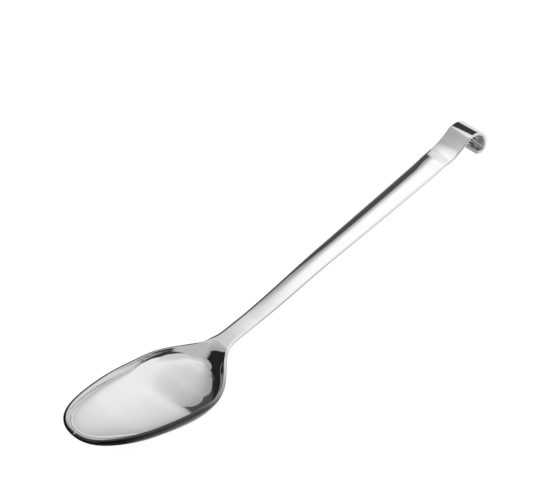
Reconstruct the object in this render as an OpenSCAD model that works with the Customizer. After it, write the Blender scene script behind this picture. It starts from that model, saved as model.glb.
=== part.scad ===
// Serving spoon with a hanging hook, pressed from one strip of steel.
// Millimetres, +Z up, +X from the bowl tip to the hook, +Y across.
// The spoon stands as it rests on a table: the bowl floor and the hook at z = 0.

/* [Sheet] */
// thickness of the steel sheet
sheet_t = 2; // [1:0.1:3.5]
// rounding of the polished cut edges
edge_r = 0.45; // [0.1:0.05:0.9]

/* [Bowl] */
// outside width of the bowl at its widest station
bowl_w = 53.6; // [30:0.1:110]
// length of the front part, from the tip to the widest station
front_l = 63.3; // [35:0.1:120]
// length of the rear part, from the widest station to the slim neck
rear_l = 64; // [35:0.5:120]
// length from the tip to the deepest station under the rim
deep_l = 53.8; // [25:0.5:110]
// length from the deepest station to the place where the dish has run out
run_out_l = 58.2; // [35:0.5:120]
// depth of the dish under the rim line, at the deepest station
bowl_depth = 11.5; // [6:0.1:30]
// depth of the dish near the widest station
wide_depth = 10.8; // [5:0.1:28]
// depth of the dish behind the widest station
rear_depth = 7; // [3:0.1:24]
// depth of the dish at the foot of the heel
foot_depth = 5.8; // [2:0.1:18]
// depth of the dish on the slope of the heel
heel_depth = 4.8; // [0.5:0.1:12]

/* [Rim line heights above the table] */
// middle of the sheet at the tip
tip_h = 32.4; // [10:0.1:70]
// rim in the front quarter of the bowl
quarter_h = 21.9; // [8:0.1:60]
// rim at the widest part of the bowl
wide_h = 12.2; // [6:0.1:50]
// lowest place of the rim line, at the heel
heel_h = 7.6; // [3:0.1:40]
// sheet edge at the end of the neck
neck_h = 8.3; // [4:0.1:50]
// sheet edge in the middle of the handle
middle_h = 10.9; // [5:0.1:50]
// sheet edge near the hook
end_h = 12.8; // [5:0.1:50]
// middle of the sheet at the start of the hook
step_h = 14.06; // [5:0.1:50]

/* [Handle] */
// width of the handle at the neck, its slimmest place
neck_w = 10.2; // [5:0.1:25]
// width of the handle at the hook, and of the hook strip
end_w = 15; // [7:0.1:35]
// length from the bowl tip to the start of the hook
body_l = 299.2; // [180:0.1:600]
// height of the crown across the neck
neck_crown_h = 0.1; // [0:0.05:3]
// height of the crown across the handle, near the hook
crown_h = 1.4; // [0.3:0.05:3]

/* [Hook] */
// radius at the middle of the sheet in the lower bend of the step
step_in_r = 30.3; // [3:0.1:60]
// radius at the middle of the sheet in the upper bend of the step
step_out_r = 3; // [1.2:0.1:8]
// turn of the step
step_deg = 29.6; // [15:0.1:80]
// straight length between the two bends of the step
step_l = 2.9; // [0.2:0.1:8]
// straight length on top of the hook
top_l = 0.1; // [0.1:0.1:10]
// inside radius of the hook, where it sits on a rail
hook_r = 13.9; // [6:0.1:30]
// turn of the large arc of the hook
hook_deg = 98.5; // [60:0.5:120]
// straight length after the large arc
drop_l = 0.4; // [0.2:0.1:8]
// inside radius of the turned-in end
lip_r = 0.6; // [0.6:0.1:8]
// turn of the turned-in end
lip_deg = 86.8; // [20:0.1:100]
// straight length of the turned-in end
lip_l = 1.8; // [0.3:0.1:8]

/* [Hidden] */
$fn = 96;

half = 1 / 2;
steel = [0.75, 0.76, 0.78];

// shares of the plan outline
front_bend_share = 1.824;
front_round_share = 0.353;
rear_bend_share = 3.85;
rear_round_share = 6.8;

// shares of the dish depth
deep_bend_share = 2;
deep_round_share = 0.364;
floor_share = 0.35;

// half angle of the section arc at the tip, in the bowl and in the handle
tip_arc = 85.7;
wall_arc = 78.5;
crown_arc = 24.4;
arc_share = 0.5;

// splits between the zones, as shares of the length up to the hook
bowl_share = 0.3529;
neck_share = 0.4566;

// places of the rim line stations, as shares of the length up to the hook
rim_shares = [0, 0.1197, 0.2199, 0.3436, neck_share, 0.6711, 0.9425, 1];
rim_hs = [tip_h, quarter_h, wide_h, heel_h, neck_h, middle_h, end_h, step_h];
rim_slopes = [-0.148, -0.296, -0.348, 0.141, -0.01, 0.014, 0.034, 0];

// first station beside the tip point, and the stations of each zone
first_share = 0.00012;
front_steps = 21;
rear_steps = 17;
neck_steps = 7;
handle_steps = 13;
cross_steps = 21;
round_steps = 2;
tip_power = 1.9;
low_steps = 60;

// places of the dish depths, as shares of the run-out length
dish_shares = [0, 0.2096, 0.4502, 0.6564, 0.8282, 1];
dish_hs = [bowl_depth, wide_depth, rear_depth, foot_depth, heel_depth, -neck_crown_h];
dish_slopes = [0, -0.197, -0.159, -0.01, -0.62, 0];

probe = body_l / 20000;
bowl_end = body_l * bowl_share;
neck_end = body_l * neck_share;

function clamp01(a) = max(0, min(1, a));
function ease(a) = let (c = clamp01(a)) c * c * (3 - 2 * c);
function mix(a, b, f) = a + (b - a) * f;
function unit(p) = p / norm(p);

// smooth curve through the stations of a line
function hermite(a, b, sa, sb, run, f) =
    let (g = f * f, k = g * f)
    a * (2 * k - 3 * g + 1) + b * (3 * g - 2 * k)
    + run * (sa * (k - 2 * g + f) + sb * (k - g));
function span_of(shares, s, i = 0) =
    i + 2 >= len(shares) || s < shares[i + 1] ? i : span_of(shares, s, i + 1);
function line_at(shares, hs, slopes, length, s) =
    let (i = span_of(shares, s), run = shares[i + 1] - shares[i])
    hermite(hs[i], hs[i + 1], slopes[i], slopes[i + 1], run * length, (s - shares[i]) / run);
function rim_z(x) = line_at(rim_shares, rim_hs, rim_slopes, body_l, clamp01(x / body_l));

// half of the handle width, and the half width of the whole outline
function handle_half(x) = mix(neck_w, end_w, max(0, x / body_l - neck_share)
    / (1 - neck_share)) * half;
function swell(x) =
    x < front_l
    ? pow(1 - pow(1 - max(x, 0) / front_l, front_bend_share), front_round_share)
    : pow(1 - pow(clamp01((x - front_l) / rear_l), rear_bend_share), rear_round_share);
function half_w(x) =
    x < front_l ? bowl_w * half * swell(x)
    : mix(handle_half(x), bowl_w * half, swell(x));

// depth of the middle of the section under its edges, negative where it is crowned
function fade(x) = mix(1, flat_share, ease((x / body_l - fade_share) / (1 - fade_share)));
fade_share = 0.98;
flat_share = 0.1;
function crown(x) =
    mix(neck_crown_h, crown_h, clamp01((x - neck_end) / (body_l - neck_end))) * fade(x);
function dish(x) =
    x < deep_l
    ? bowl_depth * pow(1 - pow(1 - max(x, 0) / deep_l, deep_bend_share), deep_round_share)
    : x < deep_l + run_out_l
    ? line_at(dish_shares, dish_hs, dish_slopes, run_out_l, clamp01((x - deep_l) / run_out_l))
    : -crown(x);

// half angle of the section arc
function arc_at(x) =
    x < front_l
    ? mix(tip_arc, wall_arc, ease(x / (front_l * arc_share)))
    : mix(crown_arc, wall_arc, swell(x));

// a point of the middle surface: x along the spoon, v from -1 to 1 across it
function edge_in(x) = sheet_t * half * sin(arc_at(x)) * clamp01(dish(x) / sheet_t);
function mid_point(x, v) =
    let (a = arc_at(x), w = max(half_w(x) - edge_in(x), half_w(x) * tip_keep))
    [x, w * sin(v * a) / sin(a),
        rim_z(x) - dish(x) * pow(max(0, (cos(v * a) - cos(a)) / (1 - cos(a))),
            x < neck_end ? mix(1, floor_share, swell(x)) : 1)];
tip_keep = 0.35;

// sheet normal, pointing up, and the direction out of the cut edge
function along(x, v) = mid_point(x + probe, v) - mid_point(max(x - probe, x * half), v);
function across(x, v) = mid_point(x, min(v + across_probe, 1)) - mid_point(x, max(v - across_probe, -1));
across_probe = 0.002;
function normal(x, v) = unit(cross(along(x, v), across(x, v)));
function outward(x, v) = sign(v) * unit(cross(normal(x, v), unit(along(x, v))));

// offsets are turned into the station plane away from the tip, so that zones butt flat
function flatten(p, x) =
    let (q = [0, p[1], p[2]], f = ease((x - deep_l * half) / (deep_l * half)))
    mix(p, q / max(q * q, flat_floor), f);
flat_floor = 0.15;

// closed ring of points of one station, with rounded cut edges
function corner(x, v, up, turn) =
    let (n = flatten(normal(x, v), x), o = flatten(outward(x, v), x))
    mid_point(x, v)
    + n * (up * (sheet_t * half - edge_r) + edge_r * sin(turn))
    + o * (edge_r * cos(turn) - edge_r);
function edge_ring(x, v, first, last) =
    [for (k = [0 : round_steps]) corner(x, v, 1, first * (1 - k / round_steps)),
     for (k = [0 : round_steps]) corner(x, v, -1, last * k / round_steps)];
function cross_at(j, x) = (2 * j / cross_steps - 1) * (1 - min(half, inset_share * edge_r / half_w(x)));
inset_share = 1.6;
function ring(x) = [
    for (j = [1 : cross_steps - 1])
        let (v = cross_at(j, x))
        mid_point(x, v) + flatten(normal(x, v), x) * sheet_t * half,
    each edge_ring(x, 1, 90, -90),
    for (j = [cross_steps - 1 : -1 : 1])
        let (v = cross_at(j, x))
        mid_point(x, v) - flatten(normal(x, v), x) * sheet_t * half,
    each [for (k = [len(edge_ring(x, -1, 90, -90)) - 1 : -1 : 0]) edge_ring(x, -1, 90, -90)[k]]
];

// closed skin over a row of rings
module skin(xs) {
    rings = [for (x = xs) ring(x)];
    n = len(rings[0]);
    m = len(rings);
    points = [for (r = rings) each r];
    faces = [
        [for (j = [0 : n - 1]) j],
        for (i = [0 : m - 2], j = [0 : n - 1])
            let (a = i * n + j, b = i * n + (j + 1) % n, c = b + n, d = a + n)
            each [[a, c, b], [a, d, c]],
        [for (j = [n - 1 : -1 : 0]) (m - 1) * n + j]
    ];
    translate([-centre_x, 0, lift]) polyhedron(points, faces, convexity = 6);
}

// the body is lifted until the lowest place of the bowl touches the table
lows = [for (k = [0 : low_steps]) let (x = deep_l + run_out_l * k / low_steps)
    rim_z(x) - dish(x) - sheet_t * half];
lift = -min(lows);

module bowl() color(steel) {
    skin([
        for (i = [0 : front_steps - 1])
            mix(body_l * first_share, front_l, pow(i / front_steps, tip_power)),
        for (i = [0 : rear_steps]) mix(front_l, bowl_end, i / rear_steps)
    ]);
}

module neck() color(steel) {
    skin([for (i = [0 : neck_steps]) mix(bowl_end, neck_end, i / neck_steps)]);
}

module handle() color(steel) {
    skin([for (i = [0 : handle_steps]) mix(neck_end, body_l, i / handle_steps)]);
}

// hook strip: a chain of straight runs and arcs in the XZ plane, with constant width
in_turn = step_deg;
mid_hook_r = hook_r + sheet_t * half;
mid_lip_r = lip_r + sheet_t * half;
function dir(a) = [cos(a), sin(a)];
function left(a) = [-sin(a), cos(a)];
function arc_end(p, a, r, turn) =
    p + left(a) * sign(turn) * r - left(a + turn) * sign(turn) * r;

p0 = [body_l, step_h + lift];
p1 = arc_end(p0, 0, step_in_r, in_turn);
p2 = p1 + dir(in_turn) * step_l;
p3 = arc_end(p2, in_turn, step_out_r, -in_turn);
p4 = p3 + dir(0) * top_l;
p5 = arc_end(p4, 0, mid_hook_r, -hook_deg);
p6 = p5 + dir(-hook_deg) * drop_l;
p7 = arc_end(p6, -hook_deg, mid_lip_r, -lip_deg);
lip_way = -hook_deg - lip_deg;
lap = 0.02;
far_share = 4;

// the spoon is centred between the tip of the bowl and the back of the hook
tip_x = min([for (p = ring(body_l * first_share)) p[0]]);
far_x = p4[0] + mid_hook_r + sheet_t * half;
centre_x = (tip_x + far_x) * half;

module run_strip(p, a, l) {
    translate(p) rotate(a) translate([-lap, -sheet_t * half]) square([l + lap + lap, sheet_t]);
}

module arc_strip(p, a, r, turn) {
    s = sign(turn);
    far = (r + sheet_t) * far_share;
    translate(p + left(a) * s * r) intersection() {
        difference() {
            circle(r + sheet_t * half);
            circle(r - sheet_t * half);
        }
        polygon([
            [0, 0],
            for (k = [0 : 3]) left(a + turn * k / 3) * -s * far
        ]);
    }
}

module strip_solid() {
    translate([-centre_x, end_w * half, 0]) rotate([90, 0, 0]) linear_extrude(end_w) children();
}

module hook_step() color(steel) strip_solid() {
    arc_strip(p0, 0, step_in_r, in_turn);
    run_strip(p1, in_turn, step_l);
    arc_strip(p2, in_turn, step_out_r, -in_turn);
}

module hanging_hook() color(steel) strip_solid() {
    run_strip(p3, 0, top_l);
    arc_strip(p4, 0, mid_hook_r, -hook_deg);
    run_strip(p5, -hook_deg, drop_l);
    arc_strip(p6, -hook_deg, mid_lip_r, -lip_deg);
    run_strip(p7, lip_way, lip_l);
}

bowl();
neck();
handle();
hook_step();
hanging_hook();
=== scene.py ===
"""Serving spoon with a hanging hook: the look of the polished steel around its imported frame."""

import logging
import math
from dataclasses import dataclass, field, fields
from enum import Enum
from typing import Callable, Sequence, Union

import bpy
import numpy as np
from mathutils import Matrix, Vector

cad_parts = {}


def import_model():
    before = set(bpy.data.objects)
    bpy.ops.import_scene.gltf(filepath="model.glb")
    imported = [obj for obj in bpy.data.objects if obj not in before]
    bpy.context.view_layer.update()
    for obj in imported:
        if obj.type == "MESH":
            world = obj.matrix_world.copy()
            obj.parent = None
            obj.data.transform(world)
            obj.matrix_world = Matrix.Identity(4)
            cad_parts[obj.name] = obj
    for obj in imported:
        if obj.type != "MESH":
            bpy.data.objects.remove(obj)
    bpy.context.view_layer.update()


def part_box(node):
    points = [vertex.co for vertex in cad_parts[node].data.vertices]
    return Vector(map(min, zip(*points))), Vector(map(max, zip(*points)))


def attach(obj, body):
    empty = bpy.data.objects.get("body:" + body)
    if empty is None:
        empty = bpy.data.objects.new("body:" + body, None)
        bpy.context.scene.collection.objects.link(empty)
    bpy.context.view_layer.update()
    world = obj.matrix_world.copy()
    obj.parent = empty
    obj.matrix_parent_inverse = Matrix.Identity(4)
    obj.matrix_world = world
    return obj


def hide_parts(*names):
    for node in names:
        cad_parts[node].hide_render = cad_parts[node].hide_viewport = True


LOG = logging.getLogger("serving_spoon")
MM = 0.001
PHOTO_PX = (540, 492)
WHITE = (1.0, 1.0, 1.0, 1.0)
HALF_TURN = 180.0
# Places closer than this are one, in metres
WELD = 2e-7
KEYS_PER_M = 2e6
# A butt face lies farther than this behind the bowl's tip
TIP_GAP = 0.01 * MM
# Keeps a whole number in a node from falling to the one before
SLACK = 0.0001
Number = Union[float, "Term"]
Fade = tuple[float, float]
Stops = tuple[tuple[float, float], ...]


class Zone(Enum):
    """The formed zones of the one steel blank, by the name of their CAD node."""

    BOWL = "bowl"
    NECK = "neck"
    HANDLE = "handle"
    STEP = "hook_step"
    HOOK = "hanging_hook"


# Node writing


class Desk:
    """Writes nodes into one node tree and sets them out in columns."""

    column: int = 12
    spacing: tuple[int, int] = (200, -180)

    def __init__(self, tree: bpy.types.NodeTree) -> None:
        """Keeps the tree."""
        self.tree = tree
        self.count = 0

    def node(self, kind: str, **settings: object) -> bpy.types.Node:
        """Adds a node.

        Args:
            kind: the node's type name.
            **settings: attributes set on it.

        Returns:
            The new node.
        """
        new = self.tree.nodes.new(kind)
        across, down = divmod(self.count, self.column)
        new.location = (self.spacing[0] * across, self.spacing[1] * down)
        self.count += 1
        for key, value in settings.items():
            setattr(new, key, value)
        return new

    def feed(self, socket: bpy.types.NodeSocket, value: object) -> None:
        """Links a Term or socket to an input, or sets a plain value on it.

        Args:
            socket: the input socket.
            value: a Term, an output socket or a plain value.
        """
        if isinstance(value, Term):
            value = value.socket
        if isinstance(value, bpy.types.NodeSocket):
            self.tree.links.new(value, socket)
        else:
            socket.default_value = value

    def step(
        self, kind: str, inputs: dict[Union[int, str], object], out: int = 0, **settings: object
    ) -> bpy.types.NodeSocket:
        """Adds a node with its inputs.

        Args:
            kind: the node's type name.
            inputs: what goes into it, by the name or number of the input.
            out: the number of the output that is wanted.
            **settings: attributes set on it.

        Returns:
            The output socket.
        """
        new = self.node(kind, **settings)
        for key, value in inputs.items():
            self.feed(new.inputs[key], value)
        return new.outputs[out]

    def math(self, operation: str, *values: object) -> "Term":
        """Returns the result of a Math node."""
        inputs = dict(enumerate(values))
        return Term(self, self.step("ShaderNodeMath", inputs, operation=operation))

    def vector(self, operation: str, *values: object, out: int = 0) -> bpy.types.NodeSocket:
        """Returns an output of a Vector Math node."""
        inputs = dict(enumerate(values))
        return self.step("ShaderNodeVectorMath", inputs, out, operation=operation)

    def scaled(self, vector: object, factor: object) -> bpy.types.NodeSocket:
        """Returns a vector times a number."""
        inputs = {"Vector": vector, "Scale": factor}
        return self.step("ShaderNodeVectorMath", inputs, operation="SCALE")

    def joined(self, x: object, y: object, z: object) -> bpy.types.NodeSocket:
        """Returns a vector made of three numbers."""
        return self.step("ShaderNodeCombineXYZ", {0: x, 1: y, 2: z})

    def parts(self, vector: object) -> tuple["Term", ...]:
        """Takes a vector apart.

        Args:
            vector: a vector socket.

        Returns:
            Its three numbers.
        """
        new = self.node("ShaderNodeSeparateXYZ")
        self.feed(new.inputs[0], vector)
        return tuple(Term(self, out) for out in new.outputs)

    def colours(self, share: object, low: object, high: object) -> bpy.types.NodeSocket:
        """Returns a mix of two colours."""
        return self.step("ShaderNodeMix", {0: share, 6: low, 7: high}, 2, data_type="RGBA")

    def blend(self, share: object, low: object, high: object) -> bpy.types.NodeSocket:
        """Returns a mix of two shaders."""
        return self.step("ShaderNodeMixShader", {0: share, 1: low, 2: high})

    def glow(self, strength: object) -> bpy.types.NodeSocket:
        """Returns a white emission."""
        return self.step("ShaderNodeEmission", {"Color": WHITE, "Strength": strength})

    def ramp(self, value: object, stops: Sequence[tuple[float, float]]) -> "Term":
        """Adds a ramp of values.

        Args:
            value: place on the ramp, from 0 to 1.
            stops: places and values.

        Returns:
            The value at the place.
        """
        new = self.node("ShaderNodeValToRGB")
        self.feed(new.inputs[0], value)
        elements = new.color_ramp.elements
        while len(elements) < len(stops):
            elements.new(0.5)
        for element, (place, level) in zip(elements, stops):
            element.position = place
            element.color = (level, level, level, 1.0)
        return Term(self, new.outputs[0])

    def inputs(self) -> dict[str, "Term"]:
        """Returns the inputs of the tree by name."""
        return {out.name: Term(self, out) for out in self.node("NodeGroupInput").outputs}

    def close(self, kind: str, value: object) -> None:
        """Feeds a value to a new output node."""
        self.feed(self.node(kind).inputs[0], value)


class Term:
    """A number in a node tree that plain arithmetic builds on."""

    def __init__(self, desk: Desk, socket: bpy.types.NodeSocket) -> None:
        """Keeps the desk and the output socket."""
        self.desk = desk
        self.socket = socket

    def __add__(self, other: Number) -> "Term":
        """Returns the sum."""
        return self.desk.math("ADD", self, other)

    def __sub__(self, other: Number) -> "Term":
        """Returns the difference."""
        return self.desk.math("SUBTRACT", self, other)

    def __rsub__(self, other: Number) -> "Term":
        """Returns the difference the other way round."""
        return self.desk.math("SUBTRACT", other, self)

    def __mul__(self, other: Number) -> "Term":
        """Returns the product."""
        return self.desk.math("MULTIPLY", self, other)

    def __truediv__(self, other: Number) -> "Term":
        """Returns the quotient."""
        return self.desk.math("DIVIDE", self, other)

    def __rtruediv__(self, other: Number) -> "Term":
        """Returns the quotient the other way round."""
        return self.desk.math("DIVIDE", other, self)

    def __neg__(self) -> "Term":
        """Returns the opposite."""
        return self.desk.math("MULTIPLY", self, -1.0)

    __radd__ = __add__
    __rmul__ = __mul__


def _call(name: str) -> Callable[..., Term]:
    """Makes a function that writes a Math node.

    Args:
        name: the node's operation.

    Returns:
        A function of numbers, of which one at least is a Term.
    """

    def run(*values: Number) -> Term:
        """Applies the operation."""
        desk = next(value.desk for value in values if isinstance(value, Term))
        return desk.math(name, *values)

    return run


power = _call("POWER")
root = _call("SQRT")
sine = _call("SINE")
cosine = _call("COSINE")
arc_sine = _call("ARCSINE")
arc_tangent = _call("ARCTAN2")
least = _call("MINIMUM")
most = _call("MAXIMUM")
above = _call("GREATER_THAN")
below = _call("LESS_THAN")
floored = _call("FLOOR")
remainder = _call("MODULO")
absolute = _call("ABSOLUTE")


def unit_range(value: Term) -> Term:
    """Returns the value held between 0 and 1."""
    return least(most(value, 0.0), 1.0)


def mix(low: Number, high: Number, share: Term) -> Term:
    """Returns the value a share of the way from low to high."""
    return low + (high - low) * share


def ease(value: Term) -> Term:
    """Returns a smooth step from 0 to 1."""
    held = unit_range(value)
    return held * held * (3.0 - 2.0 * held)


def fade(value: Term, start: Number, run: Number) -> Term:
    """Returns a smooth step from 0 at the start to 1 a run on, or back where that is negative."""
    return ease((value - start) / run)


def add_sockets(tree: bpy.types.NodeTree, way: str, kind: str, *names: str) -> None:
    """Adds named sockets of one kind, with INPUT or OUTPUT for the way, to a tree."""
    for name in names:
        tree.interface.new_socket(name, in_out=way, socket_type="NodeSocket" + kind)


def clean_desk(owner: Union[bpy.types.Material, bpy.types.World]) -> Desk:
    """Empties the node tree of a material or world.

    Args:
        owner: the material or world.

    Returns:
        A desk on the tree.
    """
    owner.use_nodes = True
    owner.node_tree.nodes.clear()
    return Desk(owner.node_tree)


def dress(desk: Desk, geometry: bpy.types.NodeSocket, finish: Term) -> None:
    """Ends a geometry tree with plain meshes in their finish.

    Args:
        desk: the desk on the tree.
        geometry: what the tree has made.
        finish: the material.
    """
    real = desk.step("GeometryNodeRealizeInstances", {"Geometry": geometry})
    dressed = desk.step("GeometryNodeSetMaterial", {"Geometry": real, "Material": finish})
    desk.close("NodeGroupOutput", dressed)


def evaluate(
    obj: bpy.types.Object, tree: bpy.types.NodeTree, settings: dict[str, object]
) -> bpy.types.Object:
    """Runs a geometry tree on an object and returns the result as a plain mesh object.

    Args:
        obj: the object that carries the modifier.
        tree: the geometry tree.
        settings: inputs by socket name.

    Returns:
        A mesh object with the result, at the origin.
    """
    bpy.context.scene.collection.objects.link(obj)
    modifier = obj.modifiers.new("build", "NODES")
    modifier.node_group = tree
    sockets = {i.name: i.identifier for i in tree.interface.items_tree if i.in_out == "INPUT"}
    for name, value in settings.items():
        modifier[sockets[name]] = value
    bpy.context.view_layer.update()
    depsgraph = bpy.context.evaluated_depsgraph_get()
    mesh = bpy.data.meshes.new_from_object(obj.evaluated_get(depsgraph))
    name = obj.name
    obj.modifiers.remove(modifier)
    bpy.data.objects.remove(obj)
    mesh.name = name
    result = bpy.data.objects.new(name, mesh)
    bpy.context.scene.collection.objects.link(result)
    return result


# The pressed sheet


@dataclass(frozen=True)
class SheetSizes:
    """The sizes of the bowl, neck and handle, with x measured from the bowl tip.

    Lengths, radii and heights are in millimetres and arcs in degrees. The rest are shares and
    the powers of curves.
    """

    sheet_t: float = 2.0
    edge_r: float = 0.45
    inner_r: float = 0.25
    outer_r: float = 1.5
    corner_share: float = 3.2
    bowl_w: float = 53.6
    front_l: float = 63.3
    rear_l: float = 64.0
    deep_l: float = 53.8
    run_out_l: float = 58.2
    neck_w: float = 10.2
    end_w: float = 15.0
    body_l: float = 299.2
    neck_crown_h: float = 0.1
    end_crown_h: float = 1.4
    crown_bend: float = 2.2
    front_bend: float = 1.824
    front_round: float = 0.353
    rear_bend: float = 3.85
    rear_round: float = 6.8
    deep_bend: float = 2.0
    deep_round: float = 0.364
    floor: float = 0.35
    least_w_share: float = 0.35
    tip_arc: float = 85.7
    wall_arc: float = 78.5
    crown_arc: float = 24.4
    arc_share: float = 0.5
    neck_end: float = 0.4566
    fade_from: float = 0.98
    flat: float = 0.1
    tip_hold: float = 0.045
    top_hold: float = 0.008
    hold_l: float = 12.0
    lift: float = 0.0186


@dataclass(frozen=True)
class StationLine:
    """A smooth line through stations, with a slope at each of them."""

    shares: tuple[float, ...]
    heights: tuple[float, ...]
    slopes: tuple[float, ...]

    def height(self, x: Term, length: Term) -> Term:
        """Returns the line's height at x.

        Args:
            x: place along the line.
            length: the whole length that the shares are of.

        Returns:
            The height, held at its end values outside the line.
        """
        share = x / length
        total: Number = self.heights[0]
        for i in range(len(self.shares) - 1):
            run = self.shares[i + 1] - self.shares[i]
            f = unit_range((share - self.shares[i]) / run)
            g = f * f
            k = g * f
            rise = self.heights[i + 1] - self.heights[i]
            bend = (k - g * 2.0 + f) * self.slopes[i] + (k - g) * self.slopes[i + 1]
            total = (g * 3.0 - k * 2.0) * rise + bend * length * run + total
        return total


@dataclass(frozen=True)
class SheetLines:
    """The two station lines of the sheet, in millimetres."""

    rim: StationLine = StationLine(
        (0.0, 0.1197, 0.2199, 0.3436, 0.4566, 0.6711, 0.9425, 1.0),
        (32.4, 21.9, 12.2, 7.6, 8.3, 10.9, 12.8, 14.06),
        (-0.148, -0.296, -0.348, 0.141, -0.01, 0.014, 0.034, 0.0),
    )
    dish: StationLine = StationLine(
        (0.0, 0.2096, 0.4502, 0.6564, 0.8282, 1.0),
        (11.5, 10.8, 7.0, 5.8, 4.8, -0.1),
        (0.0, -0.197, -0.159, -0.01, -0.62, 0.0),
    )


class SheetRule:
    """The rule of the pressed surface, written as nodes."""

    def __init__(self, sizes: dict[str, Term], lines: SheetLines) -> None:
        """Keeps the sizes, by the names of SheetSizes, and the rim and dish lines."""
        self.s = sizes
        self.lines = lines

    def front(self, x: Term) -> Term:
        """Returns how far the outline has swollen from the tip to its widest place."""
        left = 1.0 - unit_range(x / self.s["front_l"])
        return power(1.0 - power(left, self.s["front_bend"]), self.s["front_round"])

    def rear(self, x: Term) -> Term:
        """Returns how much of the swelling is left from the widest place to the neck."""
        along = unit_range((x - self.s["front_l"]) / self.s["rear_l"])
        return power(1.0 - power(along, self.s["rear_bend"]), self.s["rear_round"])

    def half_width(self, x: Term) -> Term:
        """Finds half of the outline's width.

        Args:
            x: place along the spoon.

        Returns:
            The half width there.
        """
        s = self.s
        widening = most(x / s["body_l"] - s["neck_end"], 0.0) / (1.0 - s["neck_end"])
        handle = mix(s["neck_w"], s["end_w"], widening)
        return mix(handle, s["bowl_w"], self.rear(x)) * self.front(x) * 0.5

    def dish(self, x: Term) -> Term:
        """Finds how deep the middle lies under the edges.

        Args:
            x: place along the spoon.

        Returns:
            The depth there, negative where the middle is crowned.
        """
        s = self.s
        left = 1.0 - unit_range(x / s["deep_l"])
        rise = power(1.0 - power(left, s["deep_bend"]), s["deep_round"])
        line = self.lines.dish.height(x - s["deep_l"], s["run_out_l"])
        return line * rise - (self.crown(x) - s["neck_crown_h"])

    def crown(self, x: Term) -> Term:
        """Finds how high the middle of the neck and handle stands over the edges.

        Args:
            x: place along the spoon.

        Returns:
            The height there.
        """
        s = self.s
        neck = s["neck_end"] * s["body_l"]
        left = 1.0 - unit_range((x - neck) / (s["body_l"] - neck))
        growth = 1.0 - power(left, s["crown_bend"])
        fading = fade(x / s["body_l"], s["fade_from"], 1.0 - s["fade_from"])
        return mix(s["neck_crown_h"], s["end_crown_h"], growth) * mix(1.0, s["flat"], fading)

    def section_arc(self, x: Term) -> Term:
        """Finds half of the angle that the section turns through.

        Args:
            x: place along the spoon.

        Returns:
            The angle in radians.
        """
        s = self.s
        tip = (s["tip_arc"] - s["wall_arc"]) * (1.0 - ease(x / (s["front_l"] * s["arc_share"])))
        return (mix(s["crown_arc"], s["wall_arc"], self.rear(x)) + tip) * math.radians(1.0)

    def point(self, x: Term, v: Term) -> tuple[Term, Term, Term]:
        """Finds a point of the middle surface.

        Args:
            x: place along the spoon.
            v: place across it, from -1 to 1.

        Returns:
            The coordinates.
        """
        s = self.s
        a = self.section_arc(x)
        dish = self.dish(x)
        half = self.half_width(x)
        inset = sine(a) * s["sheet_t"] * 0.5 * unit_range(dish / s["sheet_t"])
        w = most(half - inset, half * s["least_w_share"])
        swell = self.front(x) * self.rear(x)
        drop = most((cosine(v * a) - cosine(a)) / (1.0 - cosine(a)), 0.0)
        z = self.lines.rim.height(x, s["body_l"]) - dish * power(drop, mix(1.0, s["floor"], swell))
        return x, w * sine(v * a) / sine(a), z + s["lift"]


@dataclass(frozen=True)
class GridPlace:
    """What a point of the skin's grid is.

    Row is its station, with a butt face at each end, and side is 1 above and -1 below. Across
    and edge run from 0 to 1 over a face and round the edge after it. On_edge, top and body are
    1 on an edge, on the upper side and between the butt faces, and 0 elsewhere.
    """

    row: Term
    side: Term
    across: Term
    edge: Term
    on_edge: Term
    top: Term
    body: Term


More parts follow.
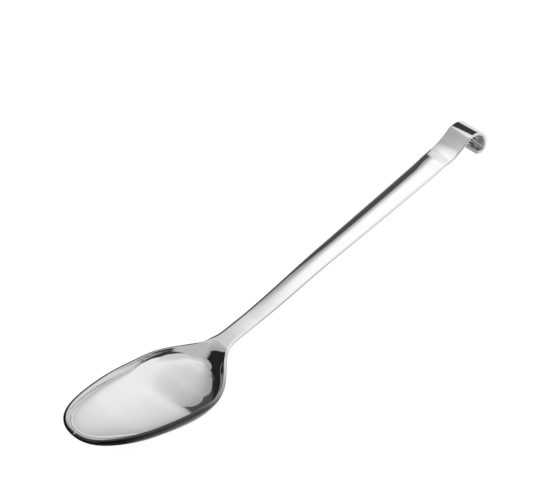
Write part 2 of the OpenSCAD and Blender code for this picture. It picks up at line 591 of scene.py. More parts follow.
class SheetSkin:
    """Geometry Nodes that draw a zone of the pressed sheet as a closed skin.

    Directions are taken between points step_x millimetres and step_v of the width away. The
    cut edge, which is rougher and carries painted shade, starts at cut_from of the way round
    the rim's edge, and cut_rise and cut_fall say how fast it comes and goes.
    """

    step_x: float = 0.004
    step_v: float = 0.001
    least_flat: float = 0.15
    cut_from: float = 0.25
    cut_rise: float = 6.0
    cut_fall: float = 8.0

    def __init__(self, sizes: SheetSizes, lines: SheetLines) -> None:
        """Builds the rule's group and the skin's tree.

        Args:
            sizes: the sheet's sizes.
            lines: the rim line and the dish line.
        """
        self.sizes = sizes
        self.rule_group = self._rule_group(lines)
        self.tree = self._skin_tree()
        self.desk = Desk(self.tree)
        self.take = self.desk.inputs()
        self.rule = SheetRule(self.take, lines)
        self._write()

    def _size_inputs(self, tree: bpy.types.NodeTree) -> None:
        """Adds one named input for each size of the sheet.

        Args:
            tree: the tree that gets them.
        """
        for size in fields(self.sizes):
            socket = tree.interface.new_socket(
                size.name, in_out="INPUT", socket_type="NodeSocketFloat"
            )
            socket.default_value = getattr(self.sizes, size.name)

    def _rule_group(self, lines: SheetLines) -> bpy.types.NodeTree:
        """Writes the group that gives a point of the middle surface.

        Args:
            lines: the rim line and the dish line.

        Returns:
            The group.
        """
        tree = bpy.data.node_groups.new("sheet rule", "GeometryNodeTree")
        add_sockets(tree, "INPUT", "Float", "x", "v")
        self._size_inputs(tree)
        add_sockets(tree, "OUTPUT", "Vector", "point")
        desk = Desk(tree)
        take = desk.inputs()
        point = SheetRule(take, lines).point(take["x"], take["v"])
        desk.close("NodeGroupOutput", desk.joined(*point))
        return tree

    def _skin_tree(self) -> bpy.types.NodeTree:
        """Makes the skin's tree with its inputs and its output.

        Returns:
            The tree, still without nodes.
        """
        tree = bpy.data.node_groups.new("pressed sheet", "GeometryNodeTree")
        add_sockets(tree, "OUTPUT", "Geometry", "Geometry")
        add_sockets(tree, "INPUT", "Float", "start x", "middle x", "end x", "origin x")
        add_sockets(tree, "INPUT", "Float", "front share", "front power")
        add_sockets(tree, "INPUT", "Int", "stations", "run steps", "edge steps")
        add_sockets(tree, "INPUT", "Material", "finish")
        self._size_inputs(tree)
        return tree

    def _grid(self) -> tuple[bpy.types.NodeSocket, GridPlace]:
        """Adds the grid and finds what its points become.

        A row of the grid goes over the upper face, round one edge, back under the lower face
        and round the other edge.

        Returns:
            The grid's mesh, and what a point of it is.
        """
        desk, take = self.desk, self.take
        steps = take["run steps"] + take["edge steps"]
        column = steps * 2.0 + 1.0
        counts = {"Vertices X": take["stations"] + 2.0, "Vertices Y": column}
        grid = desk.step("GeometryNodeMeshGrid", counts)
        index = Term(desk, desk.node("GeometryNodeInputIndex").outputs[0])
        row = floored(index / column + SLACK)
        ring = remainder(index - row * column, steps * 2.0)
        side = 1.0 - 2.0 * above(ring, steps - 0.5)
        place = remainder(ring, steps)
        across = unit_range(place / take["run steps"])
        edge = unit_range((place - take["run steps"]) / take["edge steps"])
        body = above(unit_range(row) * unit_range(take["stations"] + 1.0 - row), 0.5)
        top = above(side, 0.0)
        return grid, GridPlace(row, side, across, edge, above(edge, SLACK), top, body)

    def _station_x(self, row: Term) -> Term:
        """Spreads the stations along the zone.

        Args:
            row: the station's number.

        Returns:
            Its x, in millimetres from the tip.
        """
        take, share = self.take, self.take["front share"]
        along = unit_range((row - 1.0) / (take["stations"] - 1.0))
        first = power(unit_range(along / share), take["front power"])
        second = unit_range((along - share) / (1.0 - share))
        x = mix(take["start x"], take["middle x"], first)
        return x + (take["end x"] - take["middle x"]) * second

    def _point(self, x: Term, v: Term) -> bpy.types.NodeSocket:
        """Returns the rule's point at a place."""
        sizes = {size.name: self.take[size.name] for size in fields(self.sizes)}
        return self.desk.step(
            "GeometryNodeGroup", {"x": x, "v": v, **sizes}, node_tree=self.rule_group
        )

    def _directions(self, x: Term, v: Term, side: Term) -> tuple[bpy.types.NodeSocket, ...]:
        """Finds the sheet's directions at a place.

        Args:
            x: place along the spoon.
            v: place across it.
            side: 1 above and -1 below.

        Returns:
            The surface's normal, and the direction out over the edge.
        """
        desk, point = self.desk, self._point
        ahead, behind = point(x + self.step_x, v), point(most(x - self.step_x, x * 0.5), v)
        left, right = least(v + self.step_v, 1.0), most(v - self.step_v, -1.0)
        run = desk.vector("NORMALIZE", desk.vector("SUBTRACT", ahead, behind))
        span = desk.vector("SUBTRACT", point(x, left), point(x, right))
        normal = desk.vector("NORMALIZE", desk.vector("CROSS_PRODUCT", run, span))
        return normal, desk.scaled(desk.vector("CROSS_PRODUCT", normal, run), side)

    def _flatten(self, direction: bpy.types.NodeSocket, turned: Term) -> bpy.types.NodeSocket:
        """Turns a direction into the plane across the spoon.

        Args:
            direction: the direction.
            turned: how far it is turned, from 0 to 1.

        Returns:
            The turned direction, stretched so that the sheet keeps its thickness.
        """
        desk = self.desk
        flat = desk.vector("MULTIPLY", direction, (0.0, 1.0, 1.0))
        length = Term(desk, desk.vector("DOT_PRODUCT", flat, flat, out=1))
        grown = desk.scaled(flat, 1.0 / most(length, self.least_flat))
        inputs = {0: turned, 4: direction, 5: grown}
        return desk.step("ShaderNodeMix", inputs, 1, data_type="VECTOR")

    def _profile(self, x: Term, at: GridPlace) -> tuple[Term, Term]:
        """Finds how the rounded edge carries a point off the middle surface.

        Args:
            x: the point's place along the spoon.
            at: what the point is.

        Returns:
            How far it stands up, and how far it stands out over the edge.
        """
        take = self.take
        swell = self.rule.front(x) * self.rule.rear(x)
        inner = mix(take["edge_r"], take["inner_r"], swell)
        outer = mix(take["edge_r"], take["outer_r"], swell)
        first_r, last_r = mix(outer, inner, at.top), mix(inner, outer, at.top)
        half_t = take["sheet_t"] * 0.5
        quarter, thirds = math.pi * 0.5, at.edge * 3.0
        turn_in, turn_out = unit_range(thirds) * quarter, unit_range(thirds - 2.0) * quarter
        flat_run = (half_t * 2.0 - first_r - last_r) * unit_range(thirds - 1.0)
        level = half_t - first_r + first_r * cosine(turn_in) - flat_run - last_r * sine(turn_out)
        rounded = first_r * (sine(turn_in) - 1.0) + last_r * (cosine(turn_out) - 1.0)
        folded = -take["edge_r"] * absolute(at.edge * 2.0 - 1.0)
        return level * at.side * at.body, mix(folded, rounded, at.body) * at.on_edge

    def _cut_edge(self, x: Term, at: GridPlace) -> Term:
        """Finds how far a point belongs to the bowl rim's cut edge, which is rougher and darkened
        with painted shade.

        Args:
            x: the point's place along the spoon.
            at: what the point is.

        Returns:
            The share, from 0 to 1.
        """
        outside = mix(1.0 - at.edge, at.edge, at.top)
        bowl = 1.0 - fade(x, self.take["front_l"], self.take["run_out_l"])
        coming = ease((outside - self.cut_from) * self.cut_rise)
        return coming * ease((1.0 - outside) * self.cut_fall) * bowl

    def _write(self) -> None:
        """Writes the nodes that bend the grid into the closed skin."""
        desk, take = self.desk, self.take
        grid, at = self._grid()
        x = self._station_x(at.row)
        corner = take["edge_r"] * take["corner_share"] / self.rule.half_width(x)
        v = at.side * mix((at.across * 2.0 - 1.0) * (1.0 - least(0.5, corner)), 1.0, at.on_edge)
        normal, out = self._directions(x, v, at.side)
        half_deep = take["deep_l"] * 0.5
        turned = fade(x, half_deep, half_deep)
        rise, reach = self._profile(x, at)
        up = desk.scaled(self._flatten(normal, turned), rise)
        outward = desk.scaled(self._flatten(out, turned), reach)
        placed = desk.vector("ADD", desk.vector("ADD", self._point(x, v), up), outward)
        hold = 1.0 - ease(x / take["hold_l"])
        shift = take["origin x"] - take["tip_hold"] * hold
        shift = desk.joined(shift, 0.0, take["top_hold"] * hold)
        placed = desk.scaled(desk.vector("SUBTRACT", placed, shift), MM)
        # Marks the rim's cut edge, which gets a rougher finish and painted shade
        marked = desk.step(
            "GeometryNodeStoreNamedAttribute",
            {"Geometry": grid, "Name": "cut_edge", "Value": self._cut_edge(x, at)},
            domain="POINT",
            data_type="FLOAT",
        )
        moved = desk.step("GeometryNodeSetPosition", {"Geometry": marked, "Position": placed})
        merged = desk.step("GeometryNodeMergeByDistance", {"Geometry": moved, "Distance": WELD})
        smooth = desk.step("GeometryNodeSetShadeSmooth", {"Geometry": merged})
        dress(desk, smooth, take["finish"])

    def draw(self, zone: Zone, settings: dict[str, object]) -> bpy.types.Object:
        """Draws one zone.

        Args:
            zone: the zone that the piece stands for.
            settings: the tree's own inputs by name.

        Returns:
            The plain mesh object.
        """
        seed = bpy.data.meshes.new(zone.value + " seed")
        obj = bpy.data.objects.new(zone.value + "_steel", seed)
        return evaluate(obj, self.tree, settings)


def butt_faces(mesh: bpy.types.Mesh, behind: float) -> set[int]:
    """Finds the butt faces of a piece and shades them flat.

    Args:
        mesh: the piece's mesh.
        behind: x past which a face may be one.

    Returns:
        The numbers of the faces.
    """
    caps = set()
    for face in mesh.polygons:
        xs = [mesh.vertices[i].co.x for i in face.vertices]
        flat = max(xs) - min(xs) < WELD and xs[0] > behind
        face.use_smooth = not flat
        if flat:
            caps.add(face.index)
    return caps


def seam_key(mesh: bpy.types.Mesh, loop: int) -> tuple[int, ...]:
    """Returns a face corner's place as whole numbers, the same on both sides of a seam."""
    place = mesh.vertices[mesh.loops[loop].vertex_index].co
    return tuple(round(c * KEYS_PER_M) for c in place)


def seal_seams(pieces: Sequence[bpy.types.Object]) -> None:
    """Makes the butt faces flat and gives both sides of a seam the same normals.

    Args:
        pieces: the pieces of the blank.
    """
    shared: dict[tuple[int, ...], Vector] = {}
    tip = min(corner.co.x for piece in pieces for corner in piece.data.vertices)
    plans = []
    for piece in pieces:
        mesh = piece.data
        caps = butt_faces(mesh, tip + TIP_GAP)
        sides: dict[tuple[int, int], list[bool]] = {}
        for face in mesh.polygons:
            for key in face.edge_keys:
                sides.setdefault(key, []).append(face.index in caps)
        sharp = mesh.attributes.new("sharp_edge", "BOOLEAN", "EDGE")
        flags = [len(set(sides.get(edge.key, [True]))) > 1 for edge in mesh.edges]
        sharp.data.foreach_set("value", flags)
        mesh.update()
        normals = [Vector(n.vector) for n in mesh.corner_normals]
        border = {i for edge, flag in zip(mesh.edges, flags) if flag for i in edge.key}
        corners = [
            loop
            for face in mesh.polygons
            if face.index not in caps
            for loop in face.loop_indices
            if mesh.loops[loop].vertex_index in border
        ]
        seen = set()
        for loop in corners:
            key = seam_key(mesh, loop)
            if key not in seen:
                seen.add(key)
                shared[key] = shared.get(key, Vector()) + normals[loop]
        plans.append((mesh, normals, corners))
    for mesh, normals, corners in plans:
        for loop in corners:
            normals[loop] = shared[seam_key(mesh, loop)].normalized()
        mesh.normals_split_custom_set(normals)


# The hook strip


@dataclass(frozen=True)
class HookSizes:
    """The sizes of the bent strip at the end of the handle, in millimetres and degrees."""

    step_in_r: float = 30.3
    step_out_r: float = 3.0
    step_deg: float = 29.6
    step_l: float = 2.9
    step_facet_deg: float = 0.5
    top_l: float = 0.1
    hook_r: float = 13.9
    hook_deg: float = 92.2
    drop_l: float = 0.02
    lip_r: float = 2.5
    lip_deg: float = 118.0
    lip_l: float = 2.6
    hook_facet_deg: float = 1.0


class StripPath:
    """The middle line of the strip in the plane along the spoon, as runs and arcs."""

    fewest: int = 4

    def __init__(self, start: tuple[float, float], facet_deg: float) -> None:
        """Starts the path.

        Args:
            start: x and z of its first point, in millimetres.
            facet_deg: the largest turn between two points, in degrees.
        """
        self.at = np.array(start, float)
        self.angle = 0.0
        self.facet_deg = facet_deg
        self.points: list[np.ndarray] = [self.at.copy()]

    def _to_centre(self, radius: float) -> np.ndarray:
        """Returns the way to the centre of a bend, which is upwards for a positive radius."""
        return radius * np.array([-math.sin(self.angle), math.cos(self.angle)])

    def run(self, length: float) -> "StripPath":
        """Goes straight on.

        Args:
            length: how far.

        Returns:
            The path itself.
        """
        self.at = self.at + length * np.array([math.cos(self.angle), math.sin(self.angle)])
        self.points.append(self.at.copy())
        return self

    def bend(self, radius: float, degrees: float) -> "StripPath":
        """Goes round an arc.

        Args:
            radius: radius of the middle line.
            degrees: turn, positive upwards.

        Returns:
            The path itself.
        """
        radius = math.copysign(radius, degrees)
        centre = self.at + self._to_centre(radius)
        count = max(self.fewest, math.ceil(abs(degrees) / self.facet_deg))
        first = self.angle
        for i in range(1, count + 1):
            self.angle = first + math.radians(degrees) * i / count
            self.points.append(centre - self._to_centre(radius))
        self.at = self.points[-1].copy()
        return self


class StripSkin:
    """Geometry Nodes that carry the strip's section along a path."""

    corner_points: int = 6

    def __init__(self) -> None:
        """Builds the tree."""
        self.tree = bpy.data.node_groups.new("strip along a path", "GeometryNodeTree")
        add_sockets(self.tree, "INPUT", "Geometry", "Geometry")
        add_sockets(self.tree, "OUTPUT", "Geometry", "Geometry")
        add_sockets(self.tree, "INPUT", "Float", "width", "thickness", "edge radius")
        add_sockets(self.tree, "INPUT", "Material", "finish")
        desk = Desk(self.tree)
        take = desk.inputs()
        section = desk.step(
            "GeometryNodeCurvePrimitiveQuadrilateral",
            {"Width": take["width"], "Height": take["thickness"]},
        )
        rounded = desk.step(
            "GeometryNodeFilletCurve",
            {"Curve": section, "Count": self.corner_points, "Radius": take["edge radius"]},
            mode="POLY",
        )
        skin = desk.step(
            "GeometryNodeCurveToMesh",
            {"Curve": take["Geometry"], "Profile Curve": rounded, "Fill Caps": True},
        )
        dress(desk, skin, take["finish"])


class HookStrip:
    """The step and the hook, drawn from one path."""

    def __init__(
        self, sheet: SheetSizes, hook: HookSizes, start_z: float, origin_x: float
    ) -> None:
        """Keeps the sizes.

        Args:
            sheet: the sheet's sizes.
            hook: the hook's sizes.
            start_z: height of the middle of the sheet at the start, in millimetres.
            origin_x: x of the part's origin from the tip, in millimetres.
        """
        self.sheet = sheet
        self.hook = hook
        self.start = (sheet.body_l, start_z)
        self.origin_x = origin_x
        self.skin = StripSkin()

    def paths(self) -> dict[Zone, StripPath]:
        """Lays out the middle lines of the step and of the hook.

        Returns:
            The paths by zone.
        """
        sheet, hook = self.sheet, self.hook
        half = sheet.sheet_t * 0.5
        step = StripPath(self.start, hook.step_facet_deg)
        step.bend(hook.step_in_r, hook.step_deg).run(hook.step_l)
        step.bend(hook.step_out_r, -hook.step_deg)
        arc = StripPath((step.at[0], step.at[1]), hook.hook_facet_deg)
        arc.run(hook.top_l).bend(hook.hook_r + half, -hook.hook_deg).run(hook.drop_l)
        arc.bend(hook.lip_r + half, -hook.lip_deg).run(hook.lip_l)
        return {Zone.STEP: step, Zone.HOOK: arc}

    def draw(self, zone: Zone, path: StripPath, finish: bpy.types.Material) -> bpy.types.Object:
        """Draws a piece of the strip.

        Args:
            zone: the zone that the piece stands for.
            path: its middle line.
            finish: its material.

        Returns:
            The plain mesh object.
        """
        curve = bpy.data.curves.new(zone.value + " path", "CURVE")
        curve.dimensions = "3D"
        spline = curve.splines.new("POLY")
        spline.points.add(len(path.points) - 1)
        for point, place in zip(spline.points, path.points):
            point.co = ((place[0] - self.origin_x) * MM, 0.0, place[1] * MM, 1.0)
        obj = bpy.data.objects.new(zone.value + "_steel", curve)
        settings = {
            "width": self.sheet.end_w * MM,
            "thickness": self.sheet.sheet_t * MM,
            "edge radius": self.sheet.edge_r * MM,
            "finish": finish,
        }
        return evaluate(obj, self.skin.tree, settings)


# Finishes


def polish_group() -> bpy.types.NodeTree:
    """Writes the shader group of a hand polished surface: its haze and its fine waves.

    The haze is a mask of faint wiping marks along the spoon, the normal carries waves that are
    too shallow to see but for a soft wobble in what the steel mirrors.

    Returns:
        The group.
    """
    tree = bpy.data.node_groups.new("hand polish", "ShaderNodeTree")
    add_sockets(tree, "INPUT", "Float", "mark size", "wave size", "wave depth")
    add_sockets(tree, "OUTPUT", "Float", "haze")
    add_sockets(tree, "OUTPUT", "Vector", "normal")
    desk = Desk(tree)
    take = desk.inputs()
    stretch, mark_detail, wave_detail = (0.25, 1.0, 1.0), 3.0, 1.0
    contrast, threshold = 2.0, 0.5
    place = desk.node("ShaderNodeTexCoord").outputs["Object"]
    along = desk.vector("MULTIPLY", place, stretch)
    inputs = {"Vector": along, "Scale": take["mark size"], "Detail": mark_detail}
    marks = Term(desk, desk.step("ShaderNodeTexNoise", inputs, noise_dimensions="3D"))
    inputs = {"Vector": place, "Scale": take["wave size"], "Detail": wave_detail}
    waves = desk.step("ShaderNodeTexNoise", inputs, noise_dimensions="3D")
    inputs = {"Strength": 1.0, "Distance": take["wave depth"], "Height": waves}
    out = desk.node("NodeGroupOutput")
    desk.feed(out.inputs["haze"], ease(marks * contrast - threshold))
    desk.feed(out.inputs["normal"], desk.step("ShaderNodeBump", inputs))
    return tree


@dataclass(frozen=True)
class PolishedSteel:
    """Mirror polished stainless steel. The sheet's cut edge is rougher and has painted shade in
    its near black tint.
    """

    name: str = "polished steel"
    tint: tuple[float, float, float, float] = (0.8, 0.8, 0.805, 1.0)
    hazy_tint: tuple[float, float, float, float] = (0.785, 0.785, 0.79, 1.0)
    # Painted shade: the cut edge's near black tint darkens the rim's mirror image
    edge_tint: tuple[float, float, float, float] = (0.06, 0.06, 0.061, 1.0)
    roughness: tuple[float, float] = (0.03, 0.055)
    edge_roughness: float = 0.2
    mark_size: float = 90.0
    wave_size: float = 22.0
    wave_depth: float = 0.000003

    def build(self) -> bpy.types.Material:
        """Makes the material.

        Returns:
            The material.
        """
        material = bpy.data.materials.new(self.name)
        material.use_nodes = True
        shader = material.node_tree.nodes["Principled BSDF"]
        desk = Desk(material.node_tree)
        polish = desk.node("ShaderNodeGroup", node_tree=polish_group())
        polish.inputs["mark size"].default_value = self.mark_size
        polish.inputs["wave size"].default_value = self.wave_size
        polish.inputs["wave depth"].default_value = self.wave_depth
        haze = Term(desk, polish.outputs["haze"])
        # The cut edge share makes the edge rougher and lays on the painted shade of its dark tint
        marked = desk.node("ShaderNodeAttribute", attribute_name="cut_edge")
        cut_and_shade = Term(desk, marked.outputs["Fac"])
        tint = desk.colours(cut_and_shade, desk.colours(haze, self.tint, self.hazy_tint), self.edge_tint)
        rough = mix(mix(self.roughness[0], self.roughness[1], haze), self.edge_roughness, cut_and_shade)
        desk.feed(shader.inputs["Base Color"], tint)
        desk.feed(shader.inputs["Metallic"], 1.0)
        desk.feed(shader.inputs["Roughness"], rough)
        desk.feed(shader.inputs["Normal"], polish.outputs["normal"])
        return material


# Studio


@dataclass(frozen=True)
class Patch:
    """A soft patch of the floor that the steel mirrors, with its fades along y and x."""

    tone: float
    y_fade: Fade
    x_fades: tuple[Fade, Fade]


@dataclass(frozen=True)
class Surround:
    """Brightness of what the steel mirrors.

    Stops are (degrees of height, value), and for the floor (share of floor_x, value). A fade is
    (start, run), in degrees or in metres on the floor, and its run is negative where the value
    falls. The seam parts the light from the side, and the wall is the dark sector behind it.
    """

    light: Stops = (
        (-90, 0.5), (-5, 0.6), (5, 0.72), (12, 0.86), (20, 0.98), (28, 1.06),
        (50, 1.02), (56, 1.03), (66, 1.02), (73, 0.8), (90, 0.72),
    )
    side: Stops = (
        (-90, 0.4), (30, 0.4), (50, 0.46), (60, 0.54), (67, 0.62), (74, 0.74), (90, 0.72),
    )
    floor: Stops = (
        (0.0, 0.02), (0.13, 0.02), (0.2, 0.12), (0.26, 0.24), (0.32, 0.36), (0.4, 0.5),
        (0.75, 0.5), (0.85, 0.6), (0.95, 0.9), (1.0, 0.9),
    )
    floor_x: Fade = (-0.2, 0.4)
    patches: tuple[Patch, ...] = (
        Patch(0.78, (-0.034, 0.014), ((-0.145, 0.03), (0.0, -0.04))),
        Patch(0.27, (0.0, 0.02), ((0.04, 0.04), (0.19, -0.03))),
    )
    back: float = 0.6
    wall: float = 0.085
    deep_wall: float = 0.02
    gap: float = 0.05
    scatter: float = 0.9
    dimming: float = 0.3
    dim_turn: Fade = (22.0, 30.0)
    dim_height: Fade = (72.0, -22.0)
    seam_heights: tuple[float, float] = (40.0, 70.0)
    seam_lead: float = 7.0
    seam_run: float = 24.0
    wall_turn: float = 49.7
    wall_lean: float = 0.15
    wall_soft: float = 6.0
    wall_end: Fade = (156.0, -10.0)
    wall_top: float = 38.4
    wall_rise: float = 8.4
    wall_rise_turn: Fade = (60.0, 12.0)
    wall_top_soft: float = 2.2
    deep_turn: Fade = (60.0, 10.0)
    back_turns: tuple[Fade, Fade] = ((148.0, 26.0), (-118.0, -8.0))
    gap_turns: tuple[Fade, Fade] = ((-126.0, 8.0), (-58.0, -8.0))
    gap_height: Fade = (73.0, -4.0)

    def around(self, desk: Desk, height: Term, turn: Term) -> Term:
        """Finds the brightness in a direction round the spoon.

        Args:
            desk: the desk to write on.
            height: the direction's height in degrees.
            turn: its turn from +X towards +Y in degrees.

        Returns:
            The brightness.
        """

        def heights(stops: Stops) -> Term:
            """Returns brightness by height through the stops."""
            places = [(degrees / HALF_TURN + 0.5, value) for degrees, value in stops]
            return desk.ramp(height / HALF_TURN + 0.5, places)

        dim = self.dimming * fade(turn, *self.dim_turn) * fade(height, *self.dim_height)
        light = heights(self.light) * (1.0 - dim)
        side = mix(heights(self.side), self.back, fade(turn, *self.back_turns[0]))
        low, high = self.seam_heights
        seam = least(most(height, low), high) + self.seam_lead
        tone = mix(light, side, ease((turn - seam) / self.seam_run + 0.5))

        top = self.wall_top + self.wall_rise * fade(turn, *self.wall_rise_turn)
        start = self.wall_turn - height * self.wall_lean
        dark = fade(turn, start, self.wall_soft) * fade(height, top, -self.wall_top_soft)
        wall = mix(self.wall, self.deep_wall, fade(turn, *self.deep_turn))
        tone = mix(tone, wall, dark * fade(turn, *self.wall_end))
        tone = mix(tone, self.back, fade(turn, *self.back_turns[1]))
        first, last = self.gap_turns
        gap = fade(turn, *first) * fade(turn, *last) * fade(height, *self.gap_height)
        return mix(tone, self.gap, gap)

    def on_floor(self, desk: Desk, x: Term, y: Term) -> Term:
        """Finds the brightness of a place on the floor.

        Args:
            desk: the desk to write on.
            x: the place's x.
            y: its y.

        Returns:
            The brightness.
        """
        start, run = self.floor_x
        tone = desk.ramp((x - start) / run, self.floor)
        for patch in self.patches:
            first, last = patch.x_fades
            mask = fade(y, *patch.y_fade) * fade(x, *first) * fade(x, *last)
            tone = mix(tone, patch.tone, mask)
        return tone


def stage_quad(name: str, corners: Sequence[Sequence[float]]) -> tuple[bpy.types.Object, Desk]:
    """Adds a plane with a material of its own.

    Args:
        name: the name of the plane.
        corners: its four corners in order.

    Returns:
        The object, and a desk on its empty material.
    """
    mesh = bpy.data.meshes.new(name)
    mesh.from_pydata([tuple(corner) for corner in corners], [], [(0, 1, 2, 3)])
    quad = bpy.data.objects.new(name, mesh)
    bpy.context.scene.collection.objects.link(quad)
    material = bpy.data.materials.new(name)
    mesh.materials.append(material)
    return quad, clean_desk(material)


@dataclass(frozen=True)
class Studio:
    """Pale floor, soft lights and the camera at the photograph's angle.

    The black card stands card_reach behind the hook, the white card lies light_z over the
    handle, and a card shows only as far as its limit, a share of that reach or height.
    """

    azimuth: float = -48.3366
    elevation: float = 46.68
    distance: float = 1.5
    target: tuple[float, float, float] = (-0.00115, 0.0, 0.0286)
    px_per_m: float = 1813.96
    axis_px: tuple[float, float] = (286.65, 264.705)
    sensor_mm: float = 36.0
    clip_end: float = 100.0
    floor_half_w: float = 8.0
    floor_tint: tuple[float, float, float, float] = (0.9, 0.9, 0.9, 1.0)
    floor_glow: float = 1.1
    floor_glow_share: float = 0.85
    card_middle: tuple[float, float, float] = (0.153, 0.0, 0.02)
    card_turn: float = 30.0
    card_reach: float = 0.15
    card_half_w: float = 0.036
    card_rises: tuple[float, float] = (0.06, 0.8)
    card_limit: float = 1.065
    light_x: tuple[float, float] = (0.015, 0.225)
    light_y: tuple[float, float] = (-0.042, 0.084)
    light_z: float = 0.11
    light_soft: float = 0.042
    light_ahead: Fade = (0.1, 0.4)
    light_level: float = 1.24
    light_limit: float = 1.35
    surround: Surround = field(default_factory=Surround)

    def camera(self) -> None:
        """Adds the camera."""
        a, e = math.radians(self.azimuth), math.radians(self.elevation)
        back = Vector((math.sin(a) * math.cos(e), -math.cos(a) * math.cos(e), math.sin(e)))
        right = Vector((math.cos(a), math.sin(a), 0.0))
        up = back.cross(right)
        data = bpy.data.cameras.new("camera")
        data.sensor_width = self.sensor_mm
        data.lens = self.px_per_m * self.distance / PHOTO_PX[0] * data.sensor_width
        data.shift_x = 0.5 - self.axis_px[0] / PHOTO_PX[0]
        data.shift_y = (self.axis_px[1] - PHOTO_PX[1] * 0.5) / PHOTO_PX[0]
        data.clip_end = self.clip_end
        obj = bpy.data.objects.new("camera", data)
        frame = Matrix((right, up, back)).transposed().to_4x4()
        frame.translation = Vector(self.target) + back * self.distance
        obj.matrix_world = frame
        bpy.context.scene.collection.objects.link(obj)
        bpy.context.scene.camera = obj

    def floor(self) -> None:
        """Adds the pale floor, which keeps a faint shadow and shades off in the mirror image."""
        half = self.floor_half_w
        corners = [(-half, -half, 0.0), (half, -half, 0.0), (half, half, 0.0), (-half, half, 0.0)]
        floor, desk = stage_quad("floor", corners)
        path = desk.node("ShaderNodeLightPath").outputs
        pale = desk.step("ShaderNodeBsdfDiffuse", {"Color": self.floor_tint})
        seen = desk.math("MULTIPLY", path["Is Camera Ray"], self.floor_glow_share)
        plain = desk.blend(seen, pale, desk.glow(self.floor_glow))
        x, y, _ = desk.parts(desk.node("ShaderNodeTexCoord").outputs["Object"])
        mirrored = desk.glow(self.surround.on_floor(desk, x, y))
        desk.close("ShaderNodeOutputMaterial", desk.blend(path["Is Glossy Ray"], plain, mirrored))

    def _card(
        self,
        name: str,
        corners: Sequence[Sequence[float]],
        level: float,
        shown: Callable[[Desk], Term],
    ) -> None:
        """Adds a card that only the mirror image shows.

        Args:
            name: the card's name.
            corners: its corners in order.
            level: its brightness.
            shown: writes how far the card shows, from 0 to 1.
        """
        card, desk = stage_quad(name, corners)
        card.visible_camera = card.visible_diffuse = card.visible_shadow = False
        clear = desk.step("ShaderNodeBsdfTransparent", {})
        desk.close("ShaderNodeOutputMaterial", desk.blend(shown(desk), clear, desk.glow(level)))

    def black_card(self) -> None:
        """Adds the small black card behind the hook that only its crest mirrors."""
        turn = math.radians(self.card_turn)
        away = Vector((math.cos(turn), math.sin(turn), 0.0))
        across = Vector((-away.y, away.x, 0.0)) * self.card_half_w
        low, high = (Vector((0.0, 0.0, self.card_reach * rise)) for rise in self.card_rises)
        centre = Vector(self.card_middle) + away * self.card_reach
        corners = [centre - across + low, centre + across + low]
        corners += [centre + across + high, centre - across + high]

        def shown(desk: Desk) -> Term:
            """Shows the card to what stands near it over the floor."""
            rise = desk.parts(desk.node("ShaderNodeNewGeometry").outputs["Incoming"])[2]
            length = Term(desk, desk.node("ShaderNodeLightPath").outputs["Ray Length"])
            return below(root(1.0 - rise * rise) * length, self.card_reach * self.card_limit)

        self._card("black_card", corners, self.surround.gap, shown)

    def white_card(self) -> None:
        """Adds the white card over the handle that only the handle mirrors."""
        (low, high), (near, far), soft = self.light_x, self.light_y, self.light_soft
        outline = ((low, near), (high, near), (high, far), (low, far))

        def shown(desk: Desk) -> Term:
            """Shows the card softly, to what lies close under it and looks towards the hook."""
            x, y, _ = desk.parts(desk.node("ShaderNodeTexCoord").outputs["Object"])
            mask = fade(y, far, -soft) * fade(x, low, soft) * fade(x, high, -soft)
            back = desk.parts(desk.node("ShaderNodeNewGeometry").outputs["Incoming"])[0]
            length = Term(desk, desk.node("ShaderNodeLightPath").outputs["Ray Length"])
            close = below(length, self.light_z * self.light_limit)
            return mask * fade(-back, *self.light_ahead) * close

        corners = [(x, y, self.light_z) for x, y in outline]
        self._card("white_card", corners, self.light_level, shown)

    def world(self) -> None:
        """Adds the soft studio surround that the steel mirrors."""
        world = bpy.data.worlds.new("studio")
        bpy.context.scene.world = world
        desk = clean_desk(world)
        x, y, z = desk.parts(desk.node("ShaderNodeTexCoord").outputs["Generated"])
        height = arc_sine(z) * (HALF_TURN / math.pi)
        turn = arc_tangent(y, x) * (HALF_TURN / math.pi)
        tone = self.surround.around(desk, height, turn)
        path = desk.node("ShaderNodeLightPath").outputs
        strength = mix(self.surround.scatter, tone, Term(desk, path["Is Glossy Ray"]))
        strength = mix(strength, 1.0, Term(desk, path["Is Camera Ray"]))
        inputs = {"Color": WHITE, "Strength": strength}
        desk.close("ShaderNodeOutputWorld", desk.step("ShaderNodeBackground", inputs))

    def build(self) -> None:
        """Adds everything and sets the view."""
        self.camera()
        self.floor()
        self.black_card()
        self.white_card()
        self.world()
        bpy.context.scene.view_settings.view_transform = "Standard"


# The spoon


@dataclass(frozen=True)
class Stations:
    """How many stations a zone has, and how they crowd together in its front share."""

    count: int
    front_share: float = 0.5
    front_power: float = 1.0


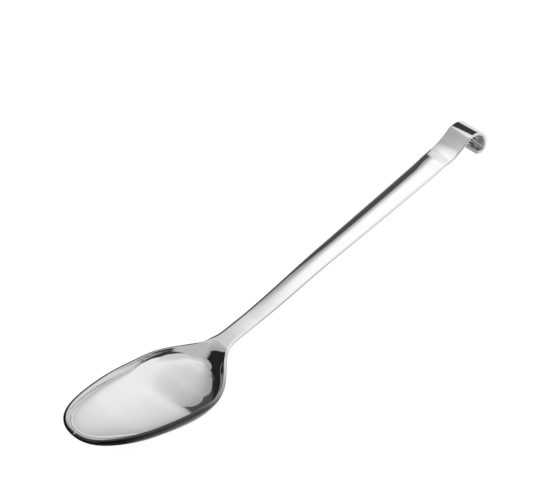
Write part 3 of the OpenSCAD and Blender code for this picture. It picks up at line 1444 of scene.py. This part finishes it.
@dataclass
class Spoon:
    """The whole spoon: one steel blank in its five formed zones."""

    sheet: SheetSizes = field(default_factory=SheetSizes)
    lines: SheetLines = field(default_factory=SheetLines)
    hook: HookSizes = field(default_factory=HookSizes)
    finish: PolishedSteel = field(default_factory=PolishedSteel)
    tip_x: float = 0.0004
    bowl_end: float = 0.3529
    bowl_stations: Stations = Stations(260, 0.55, 2.6)
    neck_stations: Stations = Stations(90)
    handle_stations: Stations = Stations(180)
    run_steps: int = 96
    edge_steps: int = 9

    def origin_x(self) -> float:
        """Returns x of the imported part's origin from the bowl tip, in millimetres."""
        return self.sheet.body_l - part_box(Zone.STEP.value)[0].x / MM

    def start_z(self) -> float:
        """Returns the height of the middle of the sheet where the hook strip starts."""
        return self.lines.rim.heights[-1] + self.sheet.lift

    def build(self) -> dict[Zone, bpy.types.Object]:
        """Draws every zone.

        Returns:
            The pieces by zone.
        """
        origin = self.origin_x()
        steel = self.finish.build()
        sheet, end = self.sheet, self.sheet.body_l
        low, high = end * self.bowl_end, end * sheet.neck_end
        skin = SheetSkin(sheet, self.lines)
        spans = {
            Zone.BOWL: (self.tip_x, sheet.front_l, low, self.bowl_stations),
            Zone.NECK: (low, (low + high) * 0.5, high, self.neck_stations),
            Zone.HANDLE: (high, (high + end) * 0.5, end, self.handle_stations),
        }
        pieces = {}
        for zone, (first, middle, last, stations) in spans.items():
            settings = {
                "start x": first,
                "middle x": middle,
                "end x": last,
                "origin x": origin,
                "front share": stations.front_share,
                "front power": stations.front_power,
                "stations": stations.count,
                "run steps": self.run_steps,
                "edge steps": self.edge_steps,
                "finish": steel,
            }
            pieces[zone] = skin.draw(zone, settings)
        strip = HookStrip(sheet, self.hook, self.start_z(), origin)
        for zone, path in strip.paths().items():
            pieces[zone] = strip.draw(zone, path, steel)
        return pieces


def main() -> None:
    """Loads the frame, builds the spoon and the studio, and reports each piece."""
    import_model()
    pieces = Spoon().build()
    seal_seams(list(pieces.values()))
    for zone, piece in pieces.items():
        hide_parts(zone.value)
        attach(piece, "root")
        LOG.info("%s: %d faces", piece.name, len(piece.data.polygons))
    Studio().build()


if __name__ == "__main__":
    logging.basicConfig(level=logging.INFO, format="%(name)s: %(message)s")
    main()
